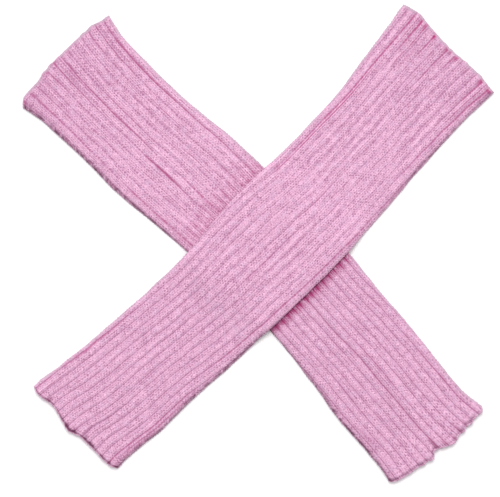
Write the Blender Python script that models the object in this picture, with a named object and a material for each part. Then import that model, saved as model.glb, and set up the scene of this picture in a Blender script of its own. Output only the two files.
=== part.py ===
"""A pair of rib-knit leg warmers, laid flat on a table and crossed, one over the other.

Each leg warmer is one seamless tube in two-by-two rib. Pairs of knit wales stand up as ribs
and the purl wales between them sink into gutters. Pressed flat, the tube has a lower wall, an
upper wall and a rounded fold down each side, with its two open ends left as knitted.

Sizes are in millimetres until the last step, which turns them to metres. +X runs to the
viewer's right and +Y away from a viewer who looks straight down on the pair, +Z is up, and the
origin lies on the table under the middle of the pair.
"""

import math
from collections import namedtuple

import bmesh
import bpy
from mathutils import Vector

MM = 0.001

# The flattened tube, from the table up
LOWER_WALL = 1.9
HOLLOW = 0.4
UPPER_WALL = 1.4
RIB_RISE = 1.3
SIDE_WALL = 2.5
GROOVE_HEIGHT = LOWER_WALL + HOLLOW + UPPER_WALL
FOLD_RADIUS = GROOVE_HEIGHT / 2

# The rib pattern, counted round the tube from the left-hand fold, over the top
RIBS_ROUND = 28
RIBS_ACROSS = 14
RIB_SHOULDER = 0.14
LAST_RAISED_RIB = 14
INNER_POINTS = 10

# How far the brushed edges stand past the side folds and hems in the tables
EDGE_FUZZ = 0.3

# The hems: how far their wavy edge and their slack reach up the tube
HEM_REACH = 40.0
HEM_SLACK = 0.9
HEM_SLACK_REACH = 24.0
HEM_SCALLOP = 0.6

# The over leg warmer climbs over the under one
PIECE_GAP = 0.35
UNDER_HEIGHT = GROOVE_HEIGHT + RIB_RISE
CLIMB = UNDER_HEIGHT + PIECE_GAP
CLIMB_INSET = 2.0
CLIMB_REACH = 30.0

# Where the two centre lines cross, seen from above
CROSSING = Vector((-4.0, -6.9, 0.0))

Leg = namedtuple("Leg", "name angle crosses_at first_rib rows low_hem high_hem folds stretches "
                        "climbs_over")
Row = namedtuple("Row", "along left right gutter rise turn_left turn_right")
Hem = namedtuple("Hem", "across past")
Fold = namedtuple("Fold", "groove start end raised")
Stretch = namedtuple("Stretch", "start end steps")

# One row for each section, from the ankle end up: the place along the tube, the two side folds
# either side of the centre line, the share of a rib that is gutter, how fully the ribs stand out,
# and how far they have turned round the tube at either fold, counted in ribs
UNDER_ROWS = (
    Row(0, -43.8, 45.8, 0.12, 1.0, 0.78, 1.12),
    Row(10, -41.6, 43.3, 0.12, 1.0, 0.76, 1.12),
    Row(20, -40.7, 43.4, 0.12, 1.0, 0.75, 1.10),
    Row(38, -39.9, 45.2, 0.12, 1.0, 0.77, 1.00),
    Row(56, -39.2, 47.0, 0.12, 1.0, 0.78, 0.90),
    Row(80, -35.8, 48.7, 0.12, 1.0, 0.55, 0.75),
    Row(102, -33.5, 49.5, 0.13, 1.0, 0.28, 0.58),
    Row(122, -31.6, 51.0, 0.14, 1.0, 0.08, 0.30),
    Row(142, -30.6, 52.6, 0.16, 1.0, -0.02, 0.15),
    Row(188, -32.6, 51.8, 0.20, 0.9, 0.00, 0.35),
    Row(230, -35.2, 50.5, 0.22, 0.8, 0.03, 0.65),
    Row(250, -37.3, 49.6, 0.24, 0.8, 0.05, 0.75),
    Row(270, -39.5, 48.0, 0.26, 0.8, 0.18, 0.82),
    Row(295, -41.9, 44.5, 0.28, 0.8, 0.38, 0.93),
    Row(320, -42.4, 42.3, 0.30, 0.8, 0.42, 0.95),
    Row(350, -43.9, 41.5, 0.30, 0.8, 0.45, 0.95),
    Row(372, -45.5, 41.3, 0.30, 0.8, 0.55, 1.10),
    Row(384, -47.3, 42.8, 0.30, 0.8, 0.60, 1.20),
    Row(395, -49.2, 44.8, 0.30, 0.8, 0.62, 1.25),
)
OVER_ROWS = (
    Row(0, -49.0, 39.4, 0.12, 1.0, 0.45, 0.85),
    Row(12, -47.9, 39.2, 0.12, 1.0, 0.45, 0.88),
    Row(26, -45.8, 40.3, 0.12, 1.0, 0.42, 0.90),
    Row(45, -43.1, 43.0, 0.12, 1.0, 0.44, 0.92),
    Row(60, -41.4, 43.5, 0.12, 1.0, 0.50, 1.00),
    Row(76, -40.0, 43.5, 0.12, 1.0, 0.58, 1.15),
    Row(100, -37.8, 45.5, 0.14, 1.0, 0.68, 1.40),
    Row(120, -36.5, 47.0, 0.14, 1.0, 0.78, 1.70),
    Row(148, -35.4, 48.3, 0.16, 1.0, 0.95, 2.00),
    Row(168, -36.4, 49.4, 0.18, 0.9, 1.05, 2.05),
    Row(205, -38.4, 50.6, 0.22, 0.9, 1.50, 2.20),
    Row(234, -38.2, 50.6, 0.24, 0.8, 1.85, 2.30),
    Row(252, -36.7, 50.1, 0.26, 0.8, 1.92, 2.38),
    Row(276, -36.2, 49.3, 0.28, 0.8, 1.90, 2.45),
    Row(300, -36.4, 48.0, 0.29, 0.8, 1.98, 2.60),
    Row(320, -37.2, 46.7, 0.30, 0.8, 2.10, 2.75),
    Row(350, -40.8, 45.8, 0.30, 0.8, 2.30, 2.95),
    Row(378, -44.4, 45.3, 0.30, 0.8, 2.55, 3.20),
    Row(401, -47.4, 46.8, 0.30, 0.8, 2.70, 3.30),
)

# How far each hem runs past its own end line, from the left-hand fold (0) to the right (1)
UNDER_LOW_HEM = (
    Hem(0.00, 1.0),
    Hem(0.08, 5.2),
    Hem(0.28, 8.4),
    Hem(0.41, 10.4),
    Hem(0.46, 7.4),
    Hem(0.53, 10.4),
    Hem(0.61, 13.6),
    Hem(0.68, 12.0),
    Hem(0.88, 10.8),
    Hem(0.97, 10.0),
    Hem(1.00, 6.9),
)
UNDER_HIGH_HEM = (
    Hem(0.00, -7.2),
    Hem(0.06, -2.2),
    Hem(0.22, -0.9),
    Hem(0.33, 1.2),
    Hem(0.56, 1.9),
    Hem(0.86, 1.3),
    Hem(0.93, -0.9),
    Hem(1.00, -1.9),
)
OVER_LOW_HEM = (
    Hem(0.00, -6.6),
    Hem(0.08, -4.3),
    Hem(0.22, -6.0),
    Hem(0.38, -2.5),
    Hem(0.47, -0.7),
    Hem(0.59, -3.4),
    Hem(0.93, -3.0),
    Hem(1.00, -5.7),
)
OVER_HIGH_HEM = (
    Hem(0.00, -0.2),
    Hem(0.12, 3.0),
    Hem(0.30, 1.8),
    Hem(0.50, 0.4),
    Hem(0.80, 1.6),
    Hem(1.00, -0.6),
)

# The largest lengthwise folds: the rib to the right of a groove rides up over it
UNDER_FOLDS = (
    Fold(groove=6, start=-30, end=142, raised=0.9),
    Fold(groove=5, start=250, end=306, raised=0.4),
    Fold(groove=6, start=320, end=388, raised=0.3),
    Fold(groove=10, start=240, end=282, raised=0.4),
    Fold(groove=12, start=225, end=420, raised=0.6),
)
OVER_FOLDS = (
    Fold(groove=5, start=216, end=272, raised=0.5),
    Fold(groove=6, start=160, end=226, raised=0.5),
    Fold(groove=-1, start=244, end=430, raised=0.5),
    Fold(groove=11, start=96, end=304, raised=0.5),
    Fold(groove=10, start=306, end=430, raised=0.6),
)

# Where the sections lie: close together at the hems and on the climb, sparse between
UNDER_STRETCHES = (
    Stretch(0, 12, 3),
    Stretch(12, 60, 4),
    Stretch(60, 144, 5),
    Stretch(144, 236, 4),
    Stretch(236, 300, 4),
    Stretch(300, 375, 5),
    Stretch(375, 395, 4),
)
OVER_STRETCHES = (
    Stretch(0, 12, 3),
    Stretch(12, 60, 4),
    Stretch(60, 124, 5),
    Stretch(124, 164, 7),
    Stretch(164, 234, 4),
    Stretch(234, 276, 7),
    Stretch(276, 330, 3),
    Stretch(330, 383, 4),
    Stretch(383, 401, 4),
)

UNDER = Leg("leg_warmer_under", 133.6, 192.1, -2, UNDER_ROWS, UNDER_LOW_HEM, UNDER_HIGH_HEM,
            UNDER_FOLDS, UNDER_STRETCHES, None)
OVER = Leg("leg_warmer_over", 46.1, 190.1, -4, OVER_ROWS, OVER_LOW_HEM, OVER_HIGH_HEM,
           OVER_FOLDS, OVER_STRETCHES, UNDER)


def ease(share):
    """A smooth step from 0 to 1."""
    share = min(max(share, 0.0), 1.0)
    return share * share * (3.0 - 2.0 * share)


def read(table, place, column):
    """One column of a table at a place between its rows, as a curve through them."""
    keys = [row[0] for row in table]
    place = min(max(place, keys[0]), keys[-1])
    after = next(i for i in range(1, len(keys)) if place <= keys[i])
    values = [getattr(row, column) for row in table]

    def slope(i):
        low, high = max(i - 1, 0), min(i + 1, len(keys) - 1)
        return (values[high] - values[low]) / (keys[high] - keys[low])

    span = keys[after] - keys[after - 1]
    t = (place - keys[after - 1]) / span
    return (values[after - 1] * (1.0 + 2.0 * t) * (1.0 - t) ** 2
            + values[after] * (3.0 - 2.0 * t) * t ** 2
            + slope(after - 1) * span * t * (1.0 - t) ** 2
            - slope(after) * span * t ** 2 * (1.0 - t))


def directions(leg):
    """Unit vectors along the tube, ankle to top, and across it to its right-hand fold."""
    angle = math.radians(leg.angle)
    along = Vector((math.cos(angle), math.sin(angle), 0.0))
    return along, Vector((along.y, -along.x, 0.0))


def sides(leg, place):
    """The two side folds at a place along the tube, either side of its centre line."""
    return read(leg.rows, place, "left") - EDGE_FUZZ, read(leg.rows, place, "right") + EDGE_FUZZ


def turned(leg, place, rib):
    """The place round the tube of a spot on the cloth, both counted in ribs."""
    at_left, at_right = read(leg.rows, place, "turn_left"), read(leg.rows, place, "turn_right")
    round_tube = (rib + (at_left + at_right) / 2) % RIBS_ROUND
    share = 1.0 - abs(round_tube / RIBS_ACROSS - 1.0)
    return rib + at_left + (at_right - at_left) * share


def climb(leg, spot):
    """How far the table's level is lifted at a spot, where the tube lies on the other one."""
    if leg.climbs_over is None:
        return 0.0
    below = leg.climbs_over
    along, right = directions(below)
    offset = spot - CROSSING
    place = below.crosses_at + offset.dot(along)
    across = offset.dot(right)
    left_fold, right_fold = sides(below, place)
    outside = max(left_fold - across, across - right_fold)
    return CLIMB * ease(1.0 - (outside + CLIMB_INSET) / CLIMB_REACH)


def base_contour(width, turn):
    """The tube's outline without its ribs: place across, height, and the way out of the wall.

    The turn is counted in ribs from the middle of the left-hand fold, over the top.
    """
    flat = width - 2.0 * RIB_RISE - 2.0 * FOLD_RADIUS
    arc = math.pi * FOLD_RADIUS
    run = (turn % RIBS_ROUND) / RIBS_ROUND * 2.0 * (flat + arc)
    start = RIB_RISE + FOLD_RADIUS
    if run < arc / 2:
        angle = math.pi - run / FOLD_RADIUS
    elif run < arc / 2 + flat:
        return start + run - arc / 2, GROOVE_HEIGHT, (0.0, 1.0)
    elif run < arc * 1.5 + flat:
        start += flat
        angle = math.pi / 2 - (run - arc / 2 - flat) / FOLD_RADIUS
    elif run < arc * 1.5 + 2.0 * flat:
        return start + flat - (run - arc * 1.5 - flat), 0.0, (0.0, -1.0)
    else:
        angle = -math.pi / 2 - (run - arc * 1.5 - 2.0 * flat) / FOLD_RADIUS
    way = (math.cos(angle), math.sin(angle))
    return start + FOLD_RADIUS * way[0], FOLD_RADIUS * (1.0 + way[1]), way


def rib_share(turn):
    """How fully the ribs stand out: all over the top and the folds, not on the underside."""
    turn = turn % RIBS_ROUND
    past_fold = min(turn - RIBS_ACROSS, RIBS_ROUND - turn) if turn > RIBS_ACROSS else 0.0
    return 1.0 - ease(past_fold / 0.4)


def fold_rise(leg, place, rib):
    """The extra height of the ribs that ride up beside a lengthwise fold."""
    rise = 0.0
    for fold in leg.folds:
        length = fold.end - fold.start
        along = math.sin(math.pi * min(max((place - fold.start) / length, 0.0), 1.0)) ** 0.7
        beside = rib - fold.groove
        across = ease(beside / 0.3) * ease((2.2 - beside) / 1.8)
        rise += fold.raised * along * across
    return rise


def outer_spots(leg, gutter):
    """The spots of the outer points on the cloth, in ribs, and which of them are on a crown."""
    spots = []
    for rib in range(leg.first_rib, leg.first_rib + RIBS_ROUND):
        if rib > LAST_RAISED_RIB:
            spots.append((rib + 0.5, 0.0))
            continue
        floor = gutter / 2
        crown = floor + RIB_SHOULDER
        spots += [(rib + floor, 0.0), (rib + crown, 1.0),
                  (rib + 1.0 - crown, 1.0), (rib + 1.0 - floor, 0.0)]
    return spots


def at_hems(leg, place, share, crown):
    """Moves a point of a section along the tube, to the hem's wavy and scalloped edge."""
    first, last = leg.rows[0].along, leg.rows[-1].along
    low = max(1.0 - (place - first) / HEM_REACH, 0.0) ** 2
    high = max(1.0 - (last - place) / HEM_REACH, 0.0) ** 2
    past_low = read(leg.low_hem, share, "past") + EDGE_FUZZ
    past_high = read(leg.high_hem, share, "past") + EDGE_FUZZ
    scallop = HEM_SCALLOP * crown
    at_low = scallop if place == first else 0.0
    at_high = scallop if place == last else 0.0
    return place - past_low * low - at_low + past_high * high + at_high


def hem_slack(leg, place):
    """How far the upper wall stands off the lower one near the open ends."""
    from_end = min(place - leg.rows[0].along, leg.rows[-1].along - place)
    return HEM_SLACK * ease(1.0 - from_end / HEM_SLACK_REACH)


def set_down(leg, place, across, height):
    """A point of the flattened tube, in its place on the table or over the other tube."""
    along, right = directions(leg)
    spot = CROSSING + (place - leg.crosses_at) * along + across * right
    return (spot + Vector((0.0, 0.0, height + climb(leg, spot)))) * MM


def outer_ring(leg, place):
    """The outer points of one section, each with its place round the tube."""
    left, right = sides(leg, place)
    slack = hem_slack(leg, place)
    stands = RIB_RISE * read(leg.rows, place, "rise")
    points = []
    for rib, crown in outer_spots(leg, read(leg.rows, place, "gutter")):
        turn = turned(leg, place, rib)
        across, height, way = base_contour(right - left, turn)
        out = rib_share(turn) * (stands * crown + fold_rise(leg, place, rib))
        across += way[0] * out
        height += max(way[1], 0.0) * out + slack * height / GROOVE_HEIGHT
        moved = at_hems(leg, place, across / (right - left), crown)
        points.append((turn, set_down(leg, moved, left + across, height)))
    return points


def inner_ring(leg, place):
    """The plain inner points of one section, each with its place round the tube."""
    left, right = sides(leg, place)
    slack = hem_slack(leg, place)
    start, width = SIDE_WALL, right - left - 2.0 * SIDE_WALL
    points = []
    for i in range(INNER_POINTS):
        turn = RIBS_ROUND * i / INNER_POINTS
        share = turn / RIBS_ACROSS if turn <= RIBS_ACROSS else 2.0 - turn / RIBS_ACROSS
        height = LOWER_WALL
        if share in (0.0, 1.0):
            height += (HOLLOW + slack) / 2
        elif turn < RIBS_ACROSS:
            height += HOLLOW + slack
        across = start + share * width
        moved = at_hems(leg, place, across / (right - left), 0.0)
        points.append((turn, set_down(leg, moved, left + across, height)))
    return points


def section_places(leg):
    """The places along the tube of its sections, from hem to hem."""
    places = [leg.stretches[0].start]
    for stretch in leg.stretches:
        step = (stretch.end - stretch.start) / stretch.steps
        places += [stretch.start + step * (i + 1) for i in range(stretch.steps)]
    return places


def skin(mesh, rings):
    """Joins rings that have the same number of points."""
    for lower, upper in zip(rings, rings[1:]):
        count = len(lower)
        for i in range(count):
            j = (i + 1) % count
            mesh.faces.new((lower[i], lower[j], upper[j], upper[i]))


def rim(mesh, outer, outer_places, inner, inner_places):
    """Closes an open end of the wall between two rings with unlike numbers of points."""
    i = j = 0
    while i < len(outer) or j < len(inner):
        next_outer = outer_places[i] if i < len(outer) else math.inf
        next_inner = inner_places[j] if j < len(inner) else math.inf
        here, across = outer[i - 1], inner[j - 1]
        if next_outer <= next_inner:
            mesh.faces.new((here, outer[i], across))
            i += 1
        else:
            mesh.faces.new((here, inner[j], across))
            j += 1


def from_start(points):
    """Splits a ring into its places round the tube, counted from the first, and its points."""
    ordered = sorted((turn % RIBS_ROUND, index) for index, (turn, _) in enumerate(points))
    return [turn for turn, _ in ordered], [index for _, index in ordered]


def build_tube(leg):
    """The whole wall of one flattened tube, as a mesh."""
    mesh = bmesh.new()
    places = section_places(leg)
    outer_points = [outer_ring(leg, place) for place in places]
    inner_points = [inner_ring(leg, place) for place in places]
    outer = [[mesh.verts.new(spot) for _, spot in ring] for ring in outer_points]
    inner = [[mesh.verts.new(spot) for _, spot in ring] for ring in inner_points]
    skin(mesh, outer)
    skin(mesh, inner)
    for end in (0, -1):
        outer_places, outer_order = from_start(outer_points[end])
        inner_places, inner_order = from_start(inner_points[end])
        rim(mesh, [outer[end][i] for i in outer_order], outer_places,
            [inner[end][i] for i in inner_order], inner_places)
    bmesh.ops.recalc_face_normals(mesh, faces=mesh.faces)
    return mesh


def pink_rib_knit():
    """Soft acrylic yarn in pale pink, matt with no gloss."""
    material = bpy.data.materials.new("rib_knit")
    material.use_nodes = True
    shader = material.node_tree.nodes["Principled BSDF"]
    shader.inputs["Base Color"].default_value = (0.79, 0.43, 0.62, 1.0)
    shader.inputs["Roughness"].default_value = 0.95
    shader.inputs["Metallic"].default_value = 0.0
    return material


def add_leg_warmer(leg, material, collection):
    """One leg warmer as a named object."""
    tube = build_tube(leg)
    data = bpy.data.meshes.new(leg.name)
    tube.to_mesh(data)
    tube.free()
    data.materials.append(material)
    data.shade_smooth()
    data.set_sharp_from_angle(angle=math.radians(50))
    collection.objects.link(bpy.data.objects.new(leg.name, data))


def main():
    for old in list(bpy.data.objects):
        bpy.data.objects.remove(old, do_unlink=True)
    collection = bpy.data.collections.new("leg_warmers")
    bpy.context.scene.collection.children.link(collection)
    material = pink_rib_knit()
    for leg in (UNDER, OVER):
        add_leg_warmer(leg, material, collection)


main()
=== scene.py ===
"""Looks of a pair of pale pink rib-knit leg warmers, laid flat and crossed.

Each leg warmer is knitted here as one closed wall: a grid is wrapped round the flattened tube,
its columns on the legs of the stitches and its rows on the courses, and turned in at both hems.
Sizes are in millimetres until a point is set down in the frame, which is in metres. Places round
a tube are counted in ribs, from its left-hand fold over the top to the other one and back below.
"""
import math
from collections import namedtuple

import bmesh
import bpy
import numpy as np
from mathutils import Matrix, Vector


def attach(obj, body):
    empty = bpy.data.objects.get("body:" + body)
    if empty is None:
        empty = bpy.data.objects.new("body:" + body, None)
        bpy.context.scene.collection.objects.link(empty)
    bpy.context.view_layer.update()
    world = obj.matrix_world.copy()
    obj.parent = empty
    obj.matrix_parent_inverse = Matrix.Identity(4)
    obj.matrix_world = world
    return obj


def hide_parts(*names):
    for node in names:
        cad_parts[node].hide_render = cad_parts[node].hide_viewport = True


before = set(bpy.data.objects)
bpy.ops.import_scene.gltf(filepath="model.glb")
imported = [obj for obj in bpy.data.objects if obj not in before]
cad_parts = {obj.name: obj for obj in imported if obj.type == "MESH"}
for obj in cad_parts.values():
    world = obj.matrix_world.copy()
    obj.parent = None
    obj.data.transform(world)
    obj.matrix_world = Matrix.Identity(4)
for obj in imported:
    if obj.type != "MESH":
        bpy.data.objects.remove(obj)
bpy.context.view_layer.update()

MM = 0.001

# The flattened tube, from the table up
LOWER_WALL = 1.9
HOLLOW = 0.4
UPPER_WALL = 1.4
RIB_RISE = 1.35
GROOVE_HEIGHT = LOWER_WALL + HOLLOW + UPPER_WALL
FOLD_RADIUS = GROOVE_HEIGHT / 2
SIDE_WALL = 2.5

# The underside is level: its ribs reach only this far past a fold, then leave shallow grooves
ROUND_THE_FOLD = 0.4
UNDERSIDE_GROOVE = 0.6

# The side folds and hems lie this far inside the outline in the tables, as uneven ribs and teeth
# stand out past them
EDGE_INSET = 0.3

# The inner face is plain, with rows close together only where the tube bends on its climb. Its
# section is a flat oval, the squarer the higher its power, and it lies in deep shade.
INNER_ROWS = (6, 30, 70, 105, 130, 137, 144, 151, 158, 175, 200, 225, 241, 248, 255, 262, 269, 300,
              340)
INNER_ROWS_BELOW_TOP = (18, 6)
INNER_SQUARENESS = 16
INNER_SHADE = 0.8

# The rib pattern: two knit wales stand up and the purl wales between sink into a gutter. The rows
# are level at the hems and take some courses to reach their slant, which is a share of a course. The
# width of a column, the room for the outer legs of the stitches and the start of the second wale are
# shares of a rib. Past the last knitted rib, on the underside, the ribs are plain and pressed flat.
RIBS_ROUND = 28
RIBS_ACROSS = 14
LAST_KNITTED_RIB = 13
RIB_WIDTH = 6.2
COURSE = 2.3
ROWS_A_COURSE = 3
STITCH_RISE = 0.28
STITCH_SLANT = 0.8
STRAIGHT_COURSES = 4
COLUMN_WIDTH = 0.125
LEG_ROOM = 0.07
SECOND_WALE = 0.45

# How uneven each stitch is: how far it stands out, its place across, its shade, and that of a fold
UNEVEN_RISE = 0.09
UNEVEN_ACROSS = 0.012
UNEVEN_SHADE = 0.12
UNEVEN_FOLD = 0.45

# Slow waves that make the cloth's height, its rows and the teeth of its hems uneven: how strong they
# are, and their size along the tube or round it
UNEVEN_HEIGHT = 0.12
HEIGHT_WAVE_ALONG = 40.0
HEIGHT_WAVE_ROUND = 25.0
ROW_WANDER = 0.35
ROW_WAVE_ALONG = 18.0
ROW_WAVE_ROUND = 14.0
TOOTH_WAVE = 12.0
LEAST_TOOTH = 0.1

# Uneven shade along the columns, drawn apart so that no two are alike: between the two wales of a
# rib, where it is never paler, and on all but the gutters, more where the cloth is drawn open
UNEVEN_MIDDLE = 0.45
MOST_MIDDLE = 1.5
MIDDLE_WAVE = 45.0
UNEVEN_STREAK = 0.08
UNEVEN_OPEN_STREAK = 0.19
STREAK_WAVE = 40.0
COLUMNS_APART = 9.0
COLUMN_WAVE = 10.0

# The gutters: the least and most of a rib that they take up, how they wander, how uneven they are,
# and how much darker their painted shade is where the ribs stand close and toward the top end
GUTTER_LEAST = 0.03
GUTTER_MOST = 0.6
UNEVEN_WIDTH = 0.3
WIDTH_WAVE = 50.0
GUTTER_WANDER = 0.028
WANDER_WAVE = 44.0
UNEVEN_GUTTER = 0.25
UNEVEN_OPEN_GUTTER = 0.36
GUTTER_DASH = 8.0
CLOSED_GUTTER = 0.55
TOP_GUTTER = 0.50
TOP_GUTTER_REACH = 190.0

# The shade of the cloth where its ribs stand close and toward its top end
CLOSED_SHADE = 0.30
TOP_SHADE = 0.22
TOP_SHADE_REACH = 80.0

# Creases and fine lines: how deep they are, and how dark and pink their painted shade is, at full
# strength, and, in ribs from a crease, how soon the ribs beside it are fully raised, where that ends
# and how long they sink for
CREASE_DEPTH = 0.4
CREASE_DARK = 0.42
CREASE_PINK = 0.5
RIDE_START = 0.3
RIDE_END = 2.2
RIDE_FALL = 1.8
LINE_SHADE = 1.5

# How fully the ribs stand out where the cloth is closed, and where it is drawn fully open
FULL_RISE = 0.7
STRETCHED_RISE = 0.3

# The side folds: the one toward the picture's foot lies in its own painted shade, which is painted
# paler at the very edge, where light catches its fuzz, and the other is painted lit
FOLD_RIM_SHADE = 0.3
FOLD_RIM_REACH = 1.5
SHADED_FOLD_REACH = 3.4
SHADED_RIB = 0.12
SHADED_RIB_REACH = 9.0
LIT_FOLD = 0.75
LIT_FOLD_REACH = 2.6
MOST_LIT = -0.9
MOST_SHADED = 0.95

# The hems: how far in their waves are felt, the slack of the upper wall, their rolled edge, the teeth
# of the ribs, their painted lit and shaded lines, and how far in from the ankle end its ribs fan
# aside
HEM_REACH = 40.0
HEM_SLACK = 0.9
HEM_SLACK_REACH = 24.0
MOST_SLACK = 1.2
HEM_ROLL = 0.5
HEM_TOOTH = 0.9
HEM_TOOTH_REACH = 2.4
LIT_HEM = 1.0
LIT_HEM_REACH = 2.2
HEM_LINE = 1.35
HEM_LINE_REACH = 1.0
DARK_HEM_REACH = 2.4
HEM_RIM_LIGHT = 0.35
HEM_RIM_REACH = 0.4
FAN_REACH = 36.0

# The pinches at the hems, marked with painted shade: their width in ribs, how many times their reach
# they take to fade, how much painted shade the top ones add, and how they weaken at the very edge
PINCH_WIDTH = 0.34
PINCH_FADE = 1.6
PINCH_SHADE = 0.6
PINCH_AT_EDGE = 0.4
PINCH_EDGE_REACH = 3.0

# The over leg warmer climbs over the under one, clear of it by a small gap. It is fully lifted from
# this far inside the other's side folds, and its slope runs this far out from there.
PIECE_GAP = 0.35
CLIMB = GROOVE_HEIGHT + RIB_RISE + PIECE_GAP
CLIMB_INSET = 2.0
CLIMB_REACH = 30.0

# Where the centre lines of the two cross on the table
CROSSING = np.array((-4.0, -6.9))

# Beside the leg warmer that covers it, the under one lies in a painted shadow, darker and deeper
# pink, in fine streaks, strongly toward the picture's foot and faintly toward its top
COVER_SHADOW_REACH = 9.0
COVER_SHADOW_SHADE = 0.85
COVER_SHADOW_DARK = 0.42
COVER_SHADOW_PINK = 0.8
COVER_SHADOW_STREAK = 0.4
STREAKS_A_RIB = 4
COVER_SHADOW_ABOVE = 0.35
COVER_SHADOW_ABOVE_REACH = 24.0

# Points closer together than this, in metres, are made one
MERGE = 1e-7

Leg = namedtuple("Leg", "node angle crosses_at first_rib rows low_hem high_hem creases lines "
                        "low_pinches high_pinches fan fold seed climbs_over")
Row = namedtuple("Row", "along left right gutter rise turn_left turn_right")
Hem = namedtuple("Hem", "across past dark")
Crease = namedtuple("Crease", "groove start end raised deep wide pink")
Line = namedtuple("Line", "rib start end dark pink")
Pinch = namedtuple("Pinch", "turn reach dark pink")
Fold = namedtuple("Fold", "along shade")
Column = namedtuple("Column", "across rise knit slant shade band")

# What each point of the wall has: its place along the tube, across it and up, its painted shade, how
# deep in the painted shade of an edge it lies (less than 0 where it is painted lit), how far open the
# cloth is drawn there, how deep pink its painted shade is, and its place in the knit in ribs and
# courses
Layers = namedtuple("Layers", "along across height shade side opened blush pattern course")

# The columns of one rib, from the middle of its left-hand gutter: the place across the rib, how far
# it stands out, how strongly its stitches do, how far up its row is drawn, how deep in the shade of
# the cloth it lies, and how much deeper or less deep where the cloth is drawn open. The second of
# them and every other one from there are the legs of the stitches in the two knit wales.
KNIT_COLUMNS = (
    Column(0.000, 0.00, -0.8, 1.0, 0.70, -0.05),
    Column(0.125, 0.68, 0.8, 0.5, 0.34, 0.16),
    Column(0.250, 0.84, 0.5, 0.0, 0.20, 0.24),
    Column(0.375, 1.00, 1.0, 0.5, 0.06, 0.10),
    Column(0.500, 0.94, 0.5, 1.0, 0.08, 0.18),
    Column(0.625, 1.00, 1.0, 0.5, 0.06, 0.10),
    Column(0.750, 0.84, 0.5, 0.0, 0.20, 0.24),
    Column(0.875, 0.68, 0.8, 0.5, 0.34, 0.16),
)
PRESSED_COLUMNS = (
    Column(0.000, 0.00, 0.0, 0.0, 0.70, 0.00),
    Column(0.500, 0.95, 0.0, 0.0, 0.20, 0.00),
)

# One row for each section, from the ankle end up: the place along the tube, the two side folds
# either side of the centre line, the share of a rib that is gutter, how fully the ribs stand out,
# and how far they have turned round the tube at either fold, counted in ribs
UNDER_ROWS = (
    Row(0, -43.8, 45.8, 0.05, 0.70, 0.78, 1.12),
    Row(10, -41.6, 43.3, 0.05, 0.70, 0.76, 1.12),
    Row(20, -40.7, 43.4, 0.05, 0.70, 0.75, 1.10),
    Row(38, -39.9, 45.2, 0.05, 0.70, 0.77, 1.00),
    Row(56, -39.2, 47.0, 0.05, 0.70, 0.78, 0.90),
    Row(80, -35.8, 48.7, 0.05, 0.70, 0.55, 0.75),
    Row(102, -33.5, 49.5, 0.06, 0.70, 0.28, 0.58),
    Row(122, -31.6, 51.0, 0.06, 0.70, 0.08, 0.30),
    Row(142, -30.6, 52.6, 0.07, 0.70, -0.02, 0.15),
    Row(188, -32.6, 51.8, 0.10, 0.45, 0.00, 0.35),
    Row(230, -35.2, 50.5, 0.13, 0.30, 0.03, 0.65),
    Row(250, -37.3, 49.6, 0.16, 0.30, 0.05, 0.75),
    Row(270, -39.5, 48.0, 0.18, 0.30, 0.18, 0.82),
    Row(295, -41.9, 44.5, 0.20, 0.30, 0.38, 0.93),
    Row(320, -42.4, 42.3, 0.20, 0.30, 0.42, 0.95),
    Row(350, -43.9, 41.5, 0.20, 0.30, 0.45, 0.95),
    Row(372, -45.5, 41.3, 0.20, 0.30, 0.55, 1.10),
    Row(384, -47.3, 42.8, 0.20, 0.30, 0.60, 1.20),
    Row(395, -49.2, 44.8, 0.20, 0.30, 0.62, 1.25),
)
OVER_ROWS = (
    Row(0, -49.0, 39.4, 0.05, 0.60, 0.45, 0.85),
    Row(12, -47.9, 39.2, 0.05, 0.60, 0.45, 0.88),
    Row(26, -45.8, 40.3, 0.05, 0.60, 0.42, 0.90),
    Row(45, -43.1, 43.0, 0.05, 0.60, 0.44, 0.92),
    Row(60, -41.4, 43.5, 0.05, 0.60, 0.50, 1.00),
    Row(76, -40.0, 43.5, 0.05, 0.60, 0.58, 1.15),
    Row(100, -37.8, 45.5, 0.06, 0.60, 0.68, 1.40),
    Row(120, -36.5, 47.0, 0.06, 0.60, 0.78, 1.70),
    Row(148, -35.4, 48.3, 0.07, 0.60, 0.95, 2.00),
    Row(168, -36.4, 49.4, 0.08, 0.45, 1.05, 2.05),
    Row(205, -38.4, 50.6, 0.11, 0.45, 1.50, 2.20),
    Row(234, -38.2, 50.6, 0.12, 0.30, 1.85, 2.30),
    Row(252, -36.7, 50.1, 0.13, 0.30, 1.92, 2.38),
    Row(276, -36.2, 49.3, 0.14, 0.30, 1.90, 2.45),
    Row(300, -36.4, 48.0, 0.14, 0.30, 1.98, 2.60),
    Row(320, -37.2, 46.7, 0.14, 0.30, 2.10, 2.75),
    Row(350, -40.8, 45.8, 0.14, 0.30, 2.30, 2.95),
    Row(378, -44.4, 45.3, 0.14, 0.30, 2.55, 3.20),
    Row(401, -47.4, 46.8, 0.14, 0.30, 2.70, 3.30),
)

# How far each hem runs past its own end line and how dark the painted shade along its edge is, from
# the left-hand fold (0) to the right (1)
UNDER_LOW_HEM = (
    Hem(0.00, 1.0, 0.60),
    Hem(0.08, 5.2, 0.65),
    Hem(0.28, 8.4, 0.60),
    Hem(0.41, 10.4, 0.45),
    Hem(0.46, 7.4, 0.50),
    Hem(0.53, 10.4, 0.30),
    Hem(0.61, 13.6, 0.30),
    Hem(0.68, 12.0, 0.50),
    Hem(0.88, 10.8, 0.60),
    Hem(0.97, 10.0, 0.20),
    Hem(1.00, 6.9, 0.00),
)
UNDER_HIGH_HEM = (
    Hem(0.00, -7.2, 0.00),
    Hem(0.06, -2.2, 0.00),
    Hem(0.22, -0.9, 0.00),
    Hem(0.33, 1.2, 0.00),
    Hem(0.56, 1.9, 0.00),
    Hem(0.86, 1.3, 0.00),
    Hem(0.93, -0.9, 0.00),
    Hem(1.00, -1.9, 0.00),
)
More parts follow.
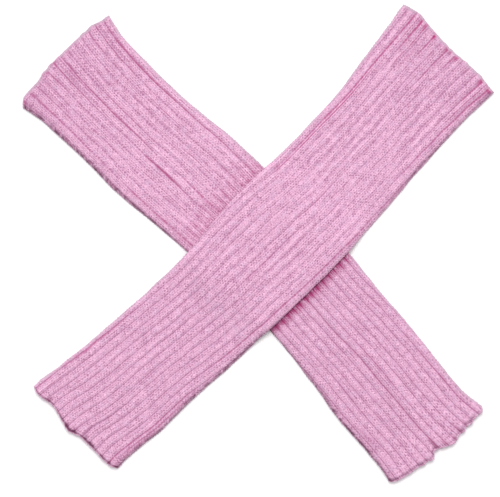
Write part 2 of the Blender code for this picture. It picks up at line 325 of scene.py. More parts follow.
OVER_LOW_HEM = (
    Hem(0.00, -6.6, 0.40),
    Hem(0.08, -4.3, 0.65),
    Hem(0.22, -6.0, 0.75),
    Hem(0.38, -2.5, 0.90),
    Hem(0.47, -0.7, 0.95),
    Hem(0.59, -3.4, 0.95),
    Hem(0.93, -3.0, 0.90),
    Hem(1.00, -5.7, 0.60),
)
OVER_HIGH_HEM = (
    Hem(0.00, -0.2, 0.00),
    Hem(0.12, 3.0, 0.00),
    Hem(0.30, 1.8, 0.00),
    Hem(0.50, 0.4, 0.00),
    Hem(0.80, 1.6, 0.00),
    Hem(1.00, -0.6, 0.00),
)

# Lengthwise creases: the gutter they lie in, where they start and end, how far the rib to the
# right of them rides up, how much deeper they are than a gutter and darker in painted shade, how
# wide, and how pink their painted shade is
UNDER_CREASES = (
    Crease(6, -30, 142, 0.9, 0.8, 0.12, 0.3),
    Crease(12, -30, 62, 0.3, 0.4, 0.10, 0.4),
    Crease(2, 20, 96, 0.0, 0.4, 0.10, 0.0),
    Crease(7, 44, 92, 0.0, 0.5, 0.08, 0.2),
    Crease(5, 250, 306, 0.4, 1.1, 0.08, 0.5),
    Crease(6, 226, 268, 0.0, 0.4, 0.30, 0.8),
    Crease(6, 300, 396, 0.3, 0.9, 0.08, 0.5),
    Crease(7, 296, 356, 0.2, 0.7, 0.10, 0.4),
    Crease(10, 240, 282, 0.4, 0.7, 0.12, 0.2),
    Crease(12, 225, 420, 0.6, 1.0, 0.08, 0.6),
    Crease(11, 344, 410, 0.2, 0.8, 0.10, 0.4),
    Crease(10, 374, 410, 0.1, 0.6, 0.14, 0.3),
    Crease(5, 346, 410, 0.1, 0.8, 0.08, 0.4),
    Crease(4, 372, 410, 0.1, 0.7, 0.12, 0.3),
    Crease(2, 366, 410, 0.1, 0.6, 0.12, 0.3),
    Crease(1, 222, 300, 0.0, 0.4, 0.26, 0.7),
    Crease(1, 300, 430, 0.0, 0.3, 0.30, 0.4),
)
OVER_CREASES = (
    Crease(0, -30, 110, 0.2, 0.4, 0.08, 0.5),
    Crease(12, -30, 92, 0.3, 0.6, 0.14, 0.6),
    Crease(8, 2, 40, 0.2, 0.7, 0.10, 0.0),
    Crease(4, 30, 74, 0.0, 0.4, 0.08, 0.0),
    Crease(6, 160, 226, 0.5, 0.7, 0.12, 0.2),
    Crease(5, 216, 272, 0.5, 0.8, 0.10, 0.2),
    Crease(11, 96, 304, 0.5, 0.7, 0.20, 0.6),
    Crease(10, 300, 430, 0.6, 1.0, 0.20, 0.6),
    Crease(-1, 244, 430, 0.5, 0.9, 0.20, 0.8),
    Crease(0, 372, 420, 0.2, 0.9, 0.22, 0.8),
    Crease(2, 380, 420, 0.1, 0.8, 0.18, 0.6),
    Crease(4, 364, 420, 0.1, 0.9, 0.14, 0.4),
    Crease(5, 384, 420, 0.1, 0.7, 0.14, 0.4),
    Crease(9, 372, 420, 0.2, 0.9, 0.20, 0.7),
)

# Fine lines of painted shade between two wales of a rib: the place counted in ribs, where they
# start and end, how dark and how pink
UNDER_LINES = (
    Line(0.375, 22, 44, 0.5, 0.3),
    Line(0.625, 18, 46, 0.4, 0.3),
    Line(1.750, 46, 66, 0.5, 0.0),
    Line(3.250, 10, 66, 0.4, 0.0),
    Line(6.500, 24, 82, 0.6, 0.0),
    Line(6.750, 44, 80, 0.5, 0.0),
    Line(12.625, -6, 50, 0.4, 0.3),
    Line(0.375, 352, 384, 0.4, 0.0),
    Line(4.625, 384, 408, 0.6, 0.0),
    Line(6.125, 377, 388, 1.2, 0.3),
    Line(2.375, 350, 408, 0.4, 0.2),
    Line(5.375, 340, 408, 0.6, 0.2),
    Line(5.750, 350, 408, 0.5, 0.3),
    Line(7.375, 362, 402, 0.4, 0.2),
    Line(11.375, 340, 402, 0.5, 0.4),
    Line(9.500, 376, 408, 0.4, 0.0),
    Line(8.500, 240, 300, 0.5, 0.2),
    Line(3.500, 236, 290, 0.5, 0.4),
    Line(5.125, 262, 300, 0.8, 0.8),
    Line(6.125, 300, 350, 0.6, 0.6),
    Line(9.125, 300, 340, 0.4, 0.3),
    Line(10.250, 296, 350, 0.4, 0.4),
    Line(12.125, 300, 390, 0.5, 0.6),
)
OVER_LINES = (
    Line(12.375, 4, 92, 0.8, 0.7),
    Line(12.625, -6, 50, 0.6, 0.6),
    Line(11.375, 6, 70, 0.3, 0.2),
    Line(0.125, 36, 92, 0.5, 0.6),
    Line(0.750, 0, 36, 0.5, 0.3),
    Line(7.250, 44, 92, 0.5, 0.0),
    Line(7.500, 48, 86, 0.5, 0.0),
    Line(7.875, -6, 30, 0.6, 0.0),
    Line(5.250, 150, 186, 0.4, 0.0),
    Line(4.500, 250, 300, 0.4, 0.0),
    Line(-0.750, 236, 350, 0.9, 0.9),
    Line(0.750, 360, 404, 0.5, 0.6),
    Line(-0.500, 340, 420, 0.5, 0.7),
    Line(1.375, 352, 404, 0.4, 0.3),
    Line(3.500, 340, 390, 0.4, 0.0),
    Line(6.625, 330, 372, 0.5, 0.0),
    Line(9.500, 350, 416, 0.6, 0.5),
)

# Where the hems are pinched, marked with painted shade: the place round the tube in ribs, how far
# from the hem the pinch reaches, and how dark and how pink its painted shade is
UNDER_LOW_PINCHES = (
    Pinch(1.0, 1.2, 0.5, 0.3),
    Pinch(2.1, 1.4, 0.6, 0.3),
    Pinch(3.1, 1.4, 0.6, 0.3),
    Pinch(4.2, 1.2, 0.6, 0.3),
    Pinch(4.9, 1.4, 0.6, 0.3),
    Pinch(6.75, 6.0, 0.6, 0.5),
    Pinch(7.8, 5.0, 0.35, 0.5),
    Pinch(9.1, 2.0, 0.3, 0.5),
    Pinch(10.2, 5.0, 0.3, 0.5),
    Pinch(11.2, 2.0, 0.3, 0.5),
    Pinch(12.4, 1.2, 0.5, 0.5),
)
OVER_LOW_PINCHES = (
    Pinch(1.2, 1.2, 0.4, 0.5),
    Pinch(2.55, 6.0, 0.6, 0.5),
    Pinch(3.2, 1.2, 0.4, 0.5),
    Pinch(4.6, 1.4, 0.5, 0.5),
    Pinch(5.4, 1.2, 0.5, 0.5),
    Pinch(6.0, 3.0, 0.9, 0.5),
    Pinch(6.5, 1.4, 0.7, 0.5),
    Pinch(7.15, 3.5, 0.8, 0.5),
    Pinch(8.7, 4.0, 0.7, 0.5),
    Pinch(9.6, 3.5, 0.9, 0.5),
    Pinch(10.0, 3.0, 0.9, 0.5),
    Pinch(11.4, 1.2, 0.4, 0.5),
    Pinch(12.75, 3.0, 0.7, 0.5),
    Pinch(13.6, 2.5, 0.7, 0.5),
)
UNDER_HIGH_PINCHES = (
    Pinch(0.6, 3.0, 0.2, 0.6),
    Pinch(4.6, 3.0, 0.1, 0.4),
    Pinch(6.0, 3.0, 0.1, 0.5),
)
OVER_HIGH_PINCHES = (
    Pinch(2.7, 5.0, 0.1, 0.5),
    Pinch(3.4, 6.0, 0.1, 0.7),
    Pinch(5.0, 5.0, 0.1, 0.7),
    Pinch(6.8, 6.0, 0.3, 0.5),
    Pinch(7.5, 5.0, 0.3, 0.6),
    Pinch(8.4, 5.0, 0.2, 0.8),
    Pinch(12.0, 5.0, 0.1, 0.7),
    Pinch(13.0, 4.0, 0.1, 0.6),
    Pinch(13.5, 6.0, 0.2, 0.8),
)

# How deep in its own shade the side fold toward the picture's foot lies, along the tube
UNDER_FOLD = (
    Fold(0, 0.80),
    Fold(24, 0.88),
    Fold(56, 0.80),
    Fold(80, 0.60),
    Fold(104, 0.35),
    Fold(126, 0.20),
    Fold(230, 0.40),
    Fold(248, 0.65),
    Fold(268, 0.85),
    Fold(300, 0.95),
    Fold(395, 0.95),
)
OVER_FOLD = (
    Fold(0, 0.40),
    Fold(24, 0.55),
    Fold(60, 0.58),
    Fold(96, 0.72),
    Fold(136, 0.66),
    Fold(156, 0.40),
    Fold(172, 0.05),
    Fold(204, 0.00),
    Fold(240, 0.00),
    Fold(268, 0.12),
    Fold(290, 0.40),
    Fold(320, 0.56),
    Fold(344, 0.50),
    Fold(376, 0.34),
    Fold(401, 0.44),
)

# The two leg warmers: which way each lies on the table, in degrees, the place along it that is at
# the crossing, the rib that its columns start from, what seeds its unevenness, and how far its ribs
# are fanned to the left at the ankle end, counted in ribs
UNDER = Leg(node="leg_warmer_under", angle=133.6, crosses_at=192.1, first_rib=-1, seed=11, fan=0.0,
            rows=UNDER_ROWS, low_hem=UNDER_LOW_HEM, high_hem=UNDER_HIGH_HEM,
            creases=UNDER_CREASES, lines=UNDER_LINES, low_pinches=UNDER_LOW_PINCHES,
            high_pinches=UNDER_HIGH_PINCHES, fold=UNDER_FOLD, climbs_over=None)
OVER = Leg(node="leg_warmer_over", angle=46.1, crosses_at=190.1, first_rib=-3, seed=23, fan=0.45,
           rows=OVER_ROWS, low_hem=OVER_LOW_HEM, high_hem=OVER_HIGH_HEM,
           creases=OVER_CREASES, lines=OVER_LINES, low_pinches=OVER_LOW_PINCHES,
           high_pinches=OVER_HIGH_PINCHES, fold=OVER_FOLD, climbs_over=UNDER)


def ease(share):
    """A smooth step from 0 to 1."""
    share = np.clip(share, 0.0, 1.0)
    return share * share * (3.0 - 2.0 * share)


def read(table, places, column):
    """One column of a table at places between its rows, as a curve through them."""
    keys = np.array([row[0] for row in table], float)
    values = np.array([getattr(row, column) for row in table], float)
    slopes = np.empty_like(values)
    slopes[1:-1] = (values[2:] - values[:-2]) / (keys[2:] - keys[:-2])
    slopes[0] = (values[1] - values[0]) / (keys[1] - keys[0])
    slopes[-1] = (values[-1] - values[-2]) / (keys[-1] - keys[-2])
    places = np.clip(places, keys[0], keys[-1])
    after = np.clip(np.searchsorted(keys, places), 1, len(keys) - 1)
    span = keys[after] - keys[after - 1]
    t = (places - keys[after - 1]) / span
    return (values[after - 1] * (1.0 + 2.0 * t) * (1.0 - t) ** 2
            + values[after] * (3.0 - 2.0 * t) * t ** 2
            + slopes[after - 1] * span * t * (1.0 - t) ** 2
            - slopes[after] * span * t ** 2 * (1.0 - t))


def drift(seed, x, size_x, y=0.0, size_y=1.0, waves=7):
    """Smooth uneven waves of about unit height, of the given sizes along x and y."""
    draw = np.random.RandomState(seed)
    total = np.zeros(np.broadcast(x, y).shape)
    for _ in range(waves):
        along_x, along_y = draw.normal(0.0, 1.0, 2)
        phase = draw.uniform(0.0, 2.0 * math.pi)
        total += np.sin(2.0 * math.pi * (along_x * x / size_x + along_y * y / size_y) + phase)
    return total / math.sqrt(waves / 2.0)


def directions(leg):
    """Unit vectors along the tube, ankle to top, and across it to its right-hand fold."""
    angle = math.radians(leg.angle)
    along = np.array((math.cos(angle), math.sin(angle)))
    return along, np.array((along[1], -along[0]))


def sides(leg, place):
    """The two side folds at places along the tube, either side of its centre line."""
    return read(leg.rows, place, "left") + EDGE_INSET, read(leg.rows, place, "right") - EDGE_INSET


def turned(leg, place, rib):
    """The place round the tube of spots on the cloth, both counted in ribs."""
    at_left, at_right = read(leg.rows, place, "turn_left"), read(leg.rows, place, "turn_right")
    round_tube = (rib + (at_left + at_right) / 2) % RIBS_ROUND
    share = 1.0 - np.abs(round_tube / RIBS_ACROSS - 1.0)
    return rib + at_left + (at_right - at_left) * share


def beyond(leg, x, y):
    """How far spots on the table lie past a tube's left and right folds: less than 0 inside."""
    along, right = directions(leg)
    dx, dy = x - CROSSING[0], y - CROSSING[1]
    place = leg.crosses_at + dx * along[0] + dy * along[1]
    across = dx * right[0] + dy * right[1]
    left_fold, right_fold = sides(leg, place)
    return left_fold - across, across - right_fold


def climb(leg, x, y):
    """How far the table's level is lifted where the tube lies on the other one."""
    if leg.climbs_over is None:
        return np.zeros_like(x)
    outside = np.maximum(*beyond(leg.climbs_over, x, y))
    return CLIMB * ease(1.0 - (outside + CLIMB_INSET) / CLIMB_REACH)


def covering_shadow(leg, x, y):
    """The painted shadow of the leg warmer that covers spots: 1 at its edge, 0 far off."""
    if leg is not UNDER:
        return np.zeros_like(x)
    past_left, past_right = beyond(OVER, x, y)
    outside = np.maximum(past_left, past_right)
    below = ease(1.0 - outside / COVER_SHADOW_REACH)
    above = COVER_SHADOW_ABOVE * ease(1.0 - outside / COVER_SHADOW_ABOVE_REACH)
    return np.where(past_right > past_left, below, above)


def base_contour(width, rib_rise, turn):
    """The tube's outline without its ribs: place across, height, and the way out of the wall."""
    start = rib_rise + FOLD_RADIUS
    flat = width - 2.0 * start
    arc = math.pi * FOLD_RADIUS
    run = (turn % RIBS_ROUND) / RIBS_ROUND * 2.0 * (flat + arc)
    right_fold = arc / 2 + flat
    left_fold = 1.5 * arc + 2.0 * flat
    angle = np.where(run < arc / 2, math.pi - run / FOLD_RADIUS, 0.5 * math.pi)
    angle = np.where(run > right_fold, 0.5 * math.pi - (run - right_fold) / FOLD_RADIUS, angle)
    angle = np.where(run > right_fold + arc, -0.5 * math.pi, angle)
    angle = np.where(run > left_fold, -0.5 * math.pi - (run - left_fold) / FOLD_RADIUS, angle)
    centre = start + np.clip(run - arc / 2, 0.0, flat) - np.clip(run - right_fold - arc, 0.0, flat)
    way_across, way_up = np.cos(angle), np.sin(angle)
    return centre + FOLD_RADIUS * way_across, FOLD_RADIUS * (1.0 + way_up), way_across, way_up


def top_share(turn):
    """1 over the top and the folds, easing to 0 on the underside."""
    turn = turn % RIBS_ROUND
    past_fold = np.minimum(turn - RIBS_ACROSS, RIBS_ROUND - turn)
    return 1.0 - ease(past_fold / ROUND_THE_FOLD)


def bulge(turn):
    """0 at the side folds and below, and 1 in the middle of the top."""
    return np.sin(math.pi * np.clip(turn / RIBS_ACROSS, 0.0, 1.0))


def from_ends(leg, place):
    """How far places are from the nearer end of the tube."""
    return np.minimum(place - leg.rows[0].along, leg.rows[-1].along - place)


def hem_slack(leg, place):
    """How far the upper wall stands off the lower one near the open ends."""
    return HEM_SLACK * ease(1.0 - from_ends(leg, place) / HEM_SLACK_REACH)


def at_hems(leg, place, share):
    """Moves points along the tube to follow the hems' wavy edges."""
    first, last = leg.rows[0].along, leg.rows[-1].along
    low = np.maximum(1.0 - (place - first) / HEM_REACH, 0.0) ** 2
    high = np.maximum(1.0 - (last - place) / HEM_REACH, 0.0) ** 2
    return (place - (read(leg.low_hem, share, "past") - EDGE_INSET) * low
            + (read(leg.high_hem, share, "past") - EDGE_INSET) * high)


def round_the_tube(leg):
    """The columns all round the tube: arrays of rib number, place across it and the rest."""
    columns = []
    for rib in range(leg.first_rib, leg.first_rib + RIBS_ROUND):
        kinds = KNIT_COLUMNS if rib <= LAST_KNITTED_RIB else PRESSED_COLUMNS
        columns += [(rib, *column) for column in kinds]
    columns.append((leg.first_rib + RIBS_ROUND, *KNIT_COLUMNS[0]))
    return [np.array(values, float)[None, :] for values in zip(*columns)]


def window(crease, place):
    """How strongly a crease shows at a place: full over most of its length, fading at its ends."""
    t = np.clip((place - crease.start) / (crease.end - crease.start), 0.0, 1.0)
    return np.sin(math.pi * t) ** 0.5


def drawn_open(leg, place):
    """How far the cloth is drawn open: 0 where its ribs stand close, 1 where they are flattest."""
    return (FULL_RISE - read(leg.rows, place, "rise")) / (FULL_RISE - STRETCHED_RISE)


def gutters(leg, place):
    """Each gutter round the tube: its share of a rib, depth, painted darkness, wandering and painted
    pink.
    """
    wide, deep, dark, wander, pink = [], [], [], [], []
    general = read(leg.rows, place, "gutter")
    opened = drawn_open(leg, place)
    unevenness = UNEVEN_GUTTER + (UNEVEN_OPEN_GUTTER - UNEVEN_GUTTER) * opened
    near_top = ease(1.0 - (leg.rows[-1].along - place) / TOP_GUTTER_REACH)
    general_dark = CLOSED_GUTTER * (1.0 - opened) + TOP_GUTTER * near_top
    for step in range(RIBS_ROUND):
        share = general * (1.0 + UNEVEN_WIDTH * drift(leg.seed + 3 * step, place, WIDTH_WAVE))
        depth, blush = np.zeros_like(place), np.zeros_like(place)
        for crease in leg.creases:
            if crease.groove == leg.first_rib + step:
                shows = window(crease, place)
                share = share + (crease.wide - share) * shows
                depth = np.maximum(depth, crease.deep * shows)
                blush = np.maximum(blush, crease.pink * shows)
        dashes = drift(leg.seed + 7 * step + 2, place, GUTTER_DASH)
        wide.append(np.clip(share, GUTTER_LEAST, GUTTER_MOST))
        deep.append(depth)
        dark.append(np.exp(unevenness * dashes) + general_dark)
        wander.append(GUTTER_WANDER * drift(leg.seed + 5 * step + 1, place, WANDER_WAVE))
        pink.append(CREASE_PINK * blush)
    return [np.stack(columns, 1) for columns in (wide, deep, dark, wander, pink)]


def spread_columns(rib, across, before, after):
    """The place of each column across its rib, with the stitches' legs kept clear of the gutters.

    Before and after are half the gutter at either side, as shares of a rib.
    """
    between_legs = (across - COLUMN_WIDTH) / (1.0 - 2.0 * COLUMN_WIDTH)
    spread = before + LEG_ROOM + between_legs * (1.0 - before - after - 2.0 * LEG_ROOM)
    return np.where((rib <= LAST_KNITTED_RIB) & (across > 0.0), spread, across)


def each_stitch(leg, rows, step, across):
    """How uneven each stitch is, the same at all its points: across, outward, in shade, at edges."""
    draw = np.random.RandomState(leg.seed)
    stitch = (rows + 1) // ROWS_A_COURSE
    wale = 2 * step + (across[0] > SECOND_WALE)
    draws = draw.normal(0.0, 1.0, (4, stitch[-1] + 1, 2 * RIBS_ROUND))
    return draws[:, stitch][:, :, wale]


def ridden_up(leg, place, spot):
    """How far the ribs to the right of the creases ride up over them."""
    lift = 0.0
    for crease in leg.creases:
        beside = spot - crease.groove
        across = ease(beside / RIDE_START) * ease((RIDE_END - beside) / RIDE_FALL)
        lift = lift + crease.raised * window(crease, place) * across
    return lift


def hem_teeth(leg, place, rise, ragged):
    """How far the ribs reach past the hems as uneven teeth, up the tube or down it."""
    outward = np.where(place < 0.5 * leg.rows[-1].along, -1.0, 1.0)
    near = np.maximum(1.0 - from_ends(leg, place) / HEM_TOOTH_REACH, 0.0)
    return HEM_TOOTH * outward * near * ragged * rise


def streaks(leg, place, rib, across, opened):
    """Slow uneven shade along the columns, and between the two wales of each rib."""
    middle = drift(leg.seed + 6, place, MIDDLE_WAVE, COLUMNS_APART * rib, COLUMN_WAVE)
    middle = np.clip(middle, 0.0, MOST_MIDDLE) * (across == 0.5)
    column = (rib + across) / COLUMN_WIDTH
    streak = drift(leg.seed + 9, place, STREAK_WAVE, COLUMNS_APART * column, COLUMN_WAVE)
    strength = UNEVEN_STREAK + (UNEVEN_OPEN_STREAK - UNEVEN_STREAK) * opened
    return UNEVEN_MIDDLE * middle + strength * streak * (across > 0.0)


def edge_shade(leg, place, over, width, ragged, uneven):
    """How deep in painted shade the folds and hems lie, and less than 0 where their fuzz is painted
    lit.
    """
    away, toward = (width - over, over) if leg is OVER else (over, width - over)
    shaded = read(leg.fold, place, "shade") * ease(1.0 - away / SHADED_FOLD_REACH)
    shaded = shaded * (FOLD_RIM_SHADE + (1.0 - FOLD_RIM_SHADE) * ease(away / FOLD_RIM_REACH))
    uneven = 1.0 + UNEVEN_FOLD * uneven
    below_top = leg.rows[-1].along - place
    lit = LIT_FOLD * ease(1.0 - toward / LIT_FOLD_REACH)
    lit = lit + LIT_HEM * ease(1.0 - below_top / LIT_HEM_REACH)
    lit = lit + HEM_RIM_LIGHT * ease(1.0 - place / HEM_RIM_REACH)
    dark = read(leg.low_hem, over / width, "dark")
    line = HEM_LINE * dark * (0.5 + 0.5 * ragged) * ease(place / HEM_RIM_REACH)
    line = line * ease(1.0 - place / (HEM_LINE_REACH + DARK_HEM_REACH * dark))
    return (shaded - lit) * uneven + SHADED_RIB * ease(1.0 - away / SHADED_RIB_REACH) + line


def pinched(leg, place, turn):
    """The painted shade of the pinches at both hems: how much shade, edge shade and pink it adds."""
    shade, side, blush = 0.0, 0.0, 0.0
    below_top = leg.rows[-1].along - place
    hems = ((leg.low_pinches, place, 0.0), (leg.high_pinches, below_top, PINCH_SHADE))
    for pinches, from_hem, darkened in hems:
        at_edge = ease(PINCH_AT_EDGE + from_hem / PINCH_EDGE_REACH)
        for pinch in pinches:
            near = ease(1.0 - np.abs(turn - pinch.turn) / PINCH_WIDTH)
            near = near * ease(1.0 - from_hem / (PINCH_FADE * pinch.reach)) * at_edge
            shade = shade + darkened * pinch.pink * near
            side = side + pinch.dark * near
            blush = blush + pinch.pink * near
    return shade, side, blush


def fine_lines(leg, place, spot):
    """The painted shade of the fine lines between wales: how much shade, edge shade and pink it adds.
    """
    shade, blush = 0.0, 0.0
    for line in leg.lines:
        near = np.maximum(1.0 - np.abs(spot - line.rib) / COLUMN_WIDTH, 0.0) * window(line, place)
        shade = shade + LINE_SHADE * line.dark * near
        blush = blush + CREASE_PINK * line.pink * near
    return shade, 0.0, blush


def outer_skin(leg, place, drawn_up):
    """The knitted outer face, with a row for each place along the tube.

    Drawn up is how fully the rows' slants show: 0 at the hems, whose edges are level.
    """
    rib, across, rise, knit, slant, shade, band = round_the_tube(leg)
    rows = np.arange(place.shape[0])
    step = (rib[0] - leg.first_rib).astype(int) % RIBS_ROUND
    following = (step + 1) % RIBS_ROUND
    nearer = np.where(across[0] < 0.5, step, following)
    wide, deep, dark, wander, pink = gutters(leg, place[:, 0])
    depth, darkness, blush = deep[:, nearer], dark[:, nearer], pink[:, nearer]
    spread = spread_columns(rib, across, wide[:, step] / 2, wide[:, following] / 2)
    wandered = wander[:, step] * (1.0 - spread) + wander[:, following] * spread
    moved, stands_out, shaded, at_edge = each_stitch(leg, rows, step, across)

    moved = UNEVEN_ACROSS * moved * (rise > 0.0)
    turn = turned(leg, place, rib + spread + wandered + moved)
    turn = turn - leg.fan * ease(1.0 - place / FAN_REACH) * bulge(turn)
    left, right = sides(leg, place)
    width = right - left
    rib_rise = RIB_RISE * read(leg.rows, place, "rise")
    over, height, way_across, way_up = base_contour(width, rib_rise, turn)
    top = top_share(turn)
    on_floor = ease(1.0 - 2.0 * rise)
    crest = np.cos(2.0 * math.pi * (rows[:, None] % ROWS_A_COURSE) / ROWS_A_COURSE)
    swell = drift(leg.seed + 1, turn * RIB_WIDTH, HEIGHT_WAVE_ROUND, place, HEIGHT_WAVE_ALONG)
    out = rise * (rib_rise + UNEVEN_RISE * stands_out + UNEVEN_HEIGHT * swell)
    out = out + STITCH_RISE * knit * crest - CREASE_DEPTH * depth * on_floor
    out = top * (out + ridden_up(leg, place, rib + spread))
    over = over + way_across * out
    height = height + np.maximum(way_up, 0.0) * out
    height = height + hem_slack(leg, place) * np.clip(height / GROOVE_HEIGHT, 0.0, MOST_SLACK)
    height = np.maximum(height + (1.0 - top) * UNDERSIDE_GROOVE * (1.0 - rise), 0.0)

    from_right_fold = RIB_WIDTH * np.abs(turn % RIBS_ROUND - RIBS_ACROSS)
    ragged = 0.5 + 0.5 * drift(leg.seed + 8, from_right_fold, TOOTH_WAVE)
    ragged = np.clip(ragged, LEAST_TOOTH, 1.0)
    bent = drift(leg.seed + 4, place, ROW_WAVE_ALONG, from_right_fold, ROW_WAVE_ROUND)
    drawn = (slant * STITCH_SLANT * COURSE + ROW_WANDER * bent) * drawn_up
    teeth = hem_teeth(leg, place, rise, ragged)
    along = at_hems(leg, place + drawn + teeth, over / width)

    opened = drawn_open(leg, place)
    near_top = ease(1.0 - (leg.rows[-1].along - place) / TOP_SHADE_REACH)
    # Painted shade of the gutters, creases, close ribs and top end, with random streaks and stitches,
    # then painted shade and light at the edges, and the painted shade of pinches and fine lines
    shade = shade * (1.0 + (darkness - 1.0) * on_floor) + CREASE_DARK * depth * on_floor
    shade = shade + band * opened + CLOSED_SHADE * (1.0 - opened) + TOP_SHADE * near_top
    shade = shade + streaks(leg, place, rib, across, opened) + UNEVEN_SHADE * shaded
    side = edge_shade(leg, place, over, width, ragged, at_edge)
    blush = blush * on_floor
    for darker, deeper, pinker in (pinched(leg, place, turn), fine_lines(leg, place, rib + across)):
        shade, side, blush = shade + darker, side + deeper, blush + pinker
    side = np.clip(side * top, MOST_LIT, MOST_SHADED)
    course = rows[:, None] / ROWS_A_COURSE + slant * STITCH_SLANT
    return Layers(*np.broadcast_arrays(along, left + over, height, shade, side, opened,
                                       blush * top, rib + across, course))


def inner_skin(leg, place):
    """The plain inner face of the wall, its columns facing the outer ones."""
    rib, across = round_the_tube(leg)[:2]
    left, right = sides(leg, place)
    turn = turned(leg, place, rib + across) % RIBS_ROUND
    share = np.where(turn <= RIBS_ACROSS, turn / RIBS_ACROSS, 2.0 - turn / RIBS_ACROSS)
    rounding = np.sqrt(np.clip(1.0 - (2.0 * share - 1.0) ** INNER_SQUARENESS, 0.0, 1.0))
    up = np.where(turn < RIBS_ACROSS, 1.0, -1.0) * rounding
    height = LOWER_WALL + (HOLLOW + hem_slack(leg, place)) * (0.5 + 0.5 * up)
    width = right - left
    over = SIDE_WALL + share * (width - 2.0 * SIDE_WALL)
    along = at_hems(leg, place, over / width)
    return Layers(*np.broadcast_arrays(along, left + over, height, INNER_SHADE, 0.0, 0.0, 0.0,
                                       rib + across, place / COURSE))


def inner_places(leg):
    """The places of the inner face's rows along the tube."""
    last = leg.rows[-1].along
    return np.array((*INNER_ROWS, *(last - below for below in INNER_ROWS_BELOW_TOP)), float)


def some_rows(skin, rows):
    """Some of the rows of a face."""
    return Layers(*(layer[rows] for layer in skin))


def rolled_hem(outside, inside, way):
    """Two rows that turn the wall in at a hem: its rolled edge, and the edge of the inner face."""
    knit = {"pattern": outside.pattern, "course": outside.course}
    roll = Layers(*((out + within) / 2 for out, within in zip(outside, inside)))
    return roll._replace(along=roll.along + way * HEM_ROLL, **knit), inside._replace(**knit)


def knit_tube(leg):
    """One leg warmer as a closed wall: up the outside, in at the top, down the inside and out."""
    length = leg.rows[-1].along - leg.rows[0].along
    courses = int(length / COURSE)
    rows = np.arange(courses * ROWS_A_COURSE + 1)[:, None]
    places = rows / ROWS_A_COURSE * length / courses
    outer = outer_skin(leg, places, ease(from_ends(leg, places) / (STRAIGHT_COURSES * COURSE)))
    lining = inner_skin(leg, inner_places(leg)[::-1][:, None])
    first, last = some_rows(outer, slice(0, 1)), some_rows(outer, slice(-1, None))
    low_roll, low_edge = rolled_hem(first, inner_skin(leg, np.array([[0.0]])), -1.0)
    top_roll, top_edge = rolled_hem(last, inner_skin(leg, np.array([[length]])), 1.0)
    loop = (outer, top_roll, top_edge, lining, low_edge, low_roll, first)
    wall = Layers(*(np.vstack(layers) for layers in zip(*loop)))

    way, right = directions(leg)
    from_crossing = wall.along - leg.crosses_at
    x = CROSSING[0] + from_crossing * way[0] + wall.across * right[0]
    y = CROSSING[1] + from_crossing * way[1] + wall.across * right[1]
    lifted = climb(leg, x, y)
    points = np.stack([x, y, wall.height + lifted], -1) * MM

    # The painted shadow of the leg warmer that covers this one, darker and deeper pink in fine
    # streaks, and the painted light on the lit fold, which fades where the tube climbs
    in_covering_shadow = covering_shadow(leg, x, y)
    streak = 1.0 + COVER_SHADOW_STREAK * np.cos(2.0 * math.pi * STREAKS_A_RIB * wall.pattern)
    shade = wall.shade * (1.0 + COVER_SHADOW_SHADE * in_covering_shadow * streak)
    side = np.where(wall.side < 0.0, wall.side * (1.0 - lifted / CLIMB), wall.side)
    side = side + COVER_SHADOW_DARK * in_covering_shadow ** 2 * np.clip(shade, 0.0, 1.0) * streak
    blush = np.clip(np.maximum(wall.blush, COVER_SHADOW_PINK * in_covering_shadow), 0.0, 1.0)
    shades = {"shade": shade, "side": side, "opened": wall.opened, "blush": blush}
    return wrap(leg, points, shades, wall.pattern, wall.course)


def wrap(leg, points, shades, pattern, course):
    """Wraps a flat grid on to the points of the wall and closes it both ways."""
    rows, columns = points.shape[:2]
    sheet = bmesh.new()
    bmesh.ops.create_grid(sheet, x_segments=columns - 1, y_segments=rows - 1, size=0.5)
    mesh = bpy.data.meshes.new(leg.node + "_knit")
    sheet.to_mesh(mesh)
    sheet.free()
    flat = np.empty(len(mesh.vertices) * 3)
    mesh.vertices.foreach_get("co", flat)
    flat = flat.reshape(-1, 3)
    column = np.rint((flat[:, 0] + 0.5) * (columns - 1)).astype(int)
    row = np.rint((flat[:, 1] + 0.5) * (rows - 1)).astype(int)
    mesh.vertices.foreach_set("co", points[row, column].ravel())
    corners = np.empty(len(mesh.loops), int)
    mesh.loops.foreach_get("vertex_index", corners)
    uv = mesh.uv_layers.new(name="knit")
    places = np.stack([pattern[row, column], course[row, column]], -1)[corners]
    uv.data.foreach_set("uv", places.ravel())
    for name, values in shades.items():
        attribute = mesh.attributes.new(name, "FLOAT", "POINT")
        attribute.data.foreach_set("value", values[row, column])
    mesh.update()
    closed = bmesh.new()
    closed.from_mesh(mesh)
    bmesh.ops.remove_doubles(closed, verts=closed.verts, dist=MERGE)
    bmesh.ops.recalc_face_normals(closed, faces=closed.faces)
    closed.to_mesh(mesh)
    closed.free()
    mesh.shade_smooth()
    return mesh


def linear(code):
    """A linear colour from an sRGB hex value."""
    parts = [int(code[i:i + 2], 16) / 255.0 for i in (0, 2, 4)]
    return tuple(p / 12.92 if p <= 0.04045 else ((p + 0.055) / 1.055) ** 2.4 for p in parts) + (1.0,)


def node(tree, kind, settings=None, **links):
    """Adds a shader node with its settings, and feeds or fills its inputs, by name or number.

    Where a node feeds an input, its first live output does.
    """
    made = tree.nodes.new(kind)
    for name, value in (settings or {}).items():
        setattr(made, name, value)
    for name, value in links.items():
        socket = made.inputs[int(name[1:]) if name[1:].isdigit() else name.replace("_", " ")]
        if isinstance(value, bpy.types.Node):
            value = next(output for output in value.outputs if output.enabled)
        if isinstance(value, bpy.types.NodeSocket):
            tree.links.new(value, socket)
        else:
            socket.default_value = value
    return made


